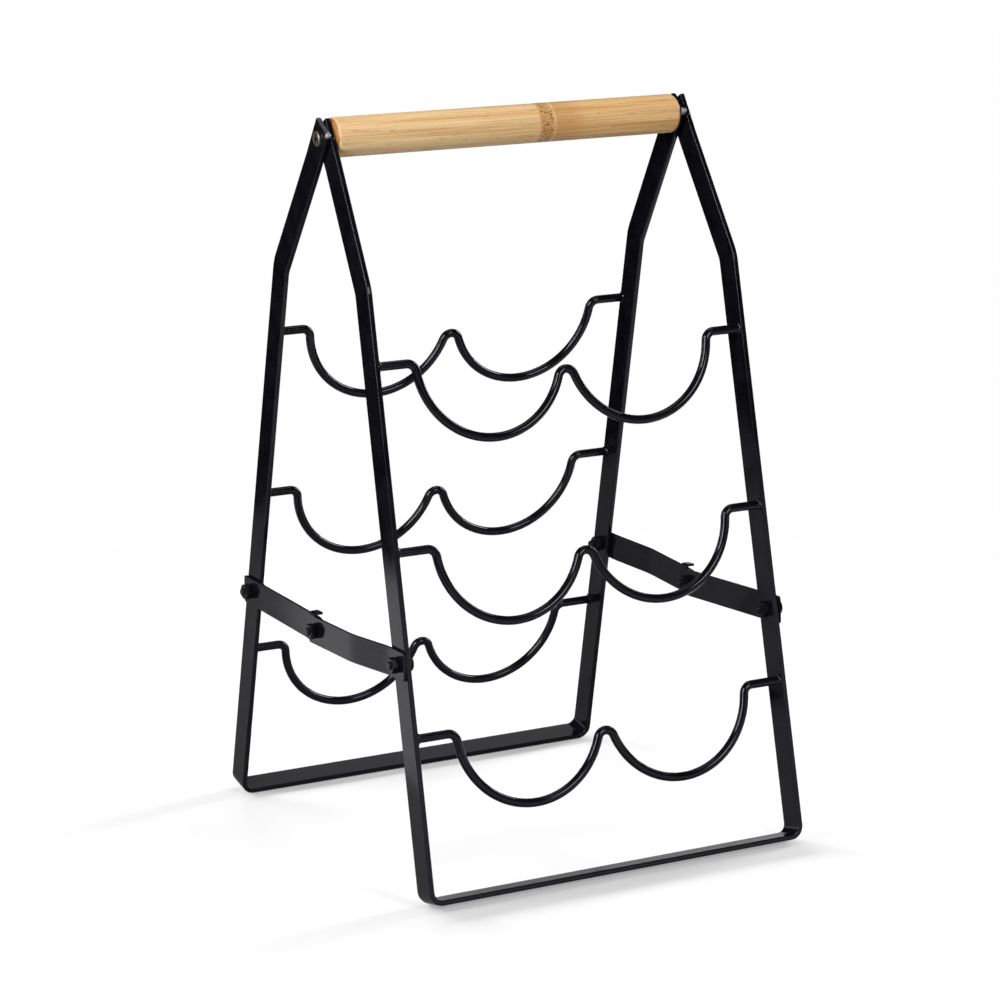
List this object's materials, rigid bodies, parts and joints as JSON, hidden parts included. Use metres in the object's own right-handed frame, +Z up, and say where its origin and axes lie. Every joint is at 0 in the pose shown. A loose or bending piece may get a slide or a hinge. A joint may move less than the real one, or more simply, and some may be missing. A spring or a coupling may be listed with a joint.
{
  "type": "folding wine rack",
  "caption": "Tabletop wine rack of two A-frame flat-bar frames with double-scoop wire cradles, hinged at a round wooden carry handle and locked open by folding side braces",
  "frame": {"origin": "on the ground under the middle of the handle, midway between the front and back feet", "axes": "+X along the handle to the right seen from the front, -Y to the front, +Z up, standing open"},
  "size_m": [0.2577, 0.257, 0.4174],
  "materials": {
    "black_powder_coat": "satin black powder coat on steel",
    "black_zinc": "black zinc plate",
    "yellow_zinc": "pale yellow zinc plate",
    "bamboo": "bare sanded bamboo with fine lengthwise grain"
  },
  "bodies": {
    "handle": {"handle_grip": "bamboo", "handle_screw_left": "yellow_zinc", "handle_screw_right": "yellow_zinc"},
    "front_frame": {"front_frame_bar": "black_powder_coat", "front_cradle_bottom": "black_powder_coat", "front_cradle_middle": "black_powder_coat", "front_cradle_top": "black_powder_coat", "front_left_brace_bolt": "black_zinc", "front_left_brace_nut": "black_zinc", "front_right_brace_bolt": "black_zinc", "front_right_brace_nut": "black_zinc"},
    "back_frame": {"back_frame_bar": "black_powder_coat", "back_cradle_bottom": "black_powder_coat", "back_cradle_middle": "black_powder_coat", "back_cradle_top": "black_powder_coat", "back_left_brace_bolt": "black_zinc", "back_right_brace_nut": "black_zinc"},
    "front_left_link": {"front_left_brace_link": "black_powder_coat", "middle_left_brace_bolt": "black_zinc", "middle_left_brace_nut": "black_zinc"},
    "back_left_link": {"back_left_brace_link": "black_powder_coat", "back_left_brace_nut": "black_zinc"},
    "front_right_link": {"front_right_brace_link": "black_powder_coat", "middle_right_brace_bolt": "black_zinc", "middle_right_brace_nut": "black_zinc"},
    "back_right_link": {"back_right_brace_link": "black_powder_coat", "back_right_brace_bolt": "black_zinc"}
  },
  "joints": [
    {"name": "front_frame_fold", "type": "hinge", "parent": "handle", "child": "front_frame", "pos_m": [0, 0, 0.40618], "axis": [1, 0, 0], "range_deg": [0, 15.5]},
    {"name": "back_frame_fold", "type": "hinge", "parent": "handle", "child": "back_frame", "pos_m": [0, 0, 0.40618], "axis": [1, 0, 0], "range_deg": [-15.5, 0]},
    {"name": "front_left_link_fold", "type": "hinge", "parent": "front_frame", "child": "front_left_link", "pos_m": [-0.121, -0.09231, 0.13102], "axis": [1, 0, 0], "range_deg": [0, 66.2]},
    {"name": "back_left_link_fold", "type": "hinge", "parent": "front_left_link", "child": "back_left_link", "pos_m": [-0.121, 0, 0.12902], "axis": [1, 0, 0], "range_deg": [-163.3, 0]},
    {"name": "front_right_link_fold", "type": "hinge", "parent": "front_frame", "child": "front_right_link", "pos_m": [0.1222, -0.09231, 0.13102], "axis": [1, 0, 0], "range_deg": [0, 68.4]},
    {"name": "back_right_link_fold", "type": "hinge", "parent": "front_right_link", "child": "back_right_link", "pos_m": [0.1222, 0, 0.12552], "axis": [1, 0, 0], "range_deg": [-167.7, 0]}
  ],
  "couplings": [
    {"joint": "back_frame_fold", "follows": "front_frame_fold", "ratio": -1},
    {"joint": "front_left_link_fold", "follows": "front_frame_fold", "ratio": 4.2663},
    {"joint": "back_left_link_fold", "follows": "front_frame_fold", "ratio": -10.533},
    {"joint": "front_right_link_fold", "follows": "front_frame_fold", "ratio": 4.4072},
    {"joint": "back_right_link_fold", "follows": "front_frame_fold", "ratio": -10.814}
  ]
}
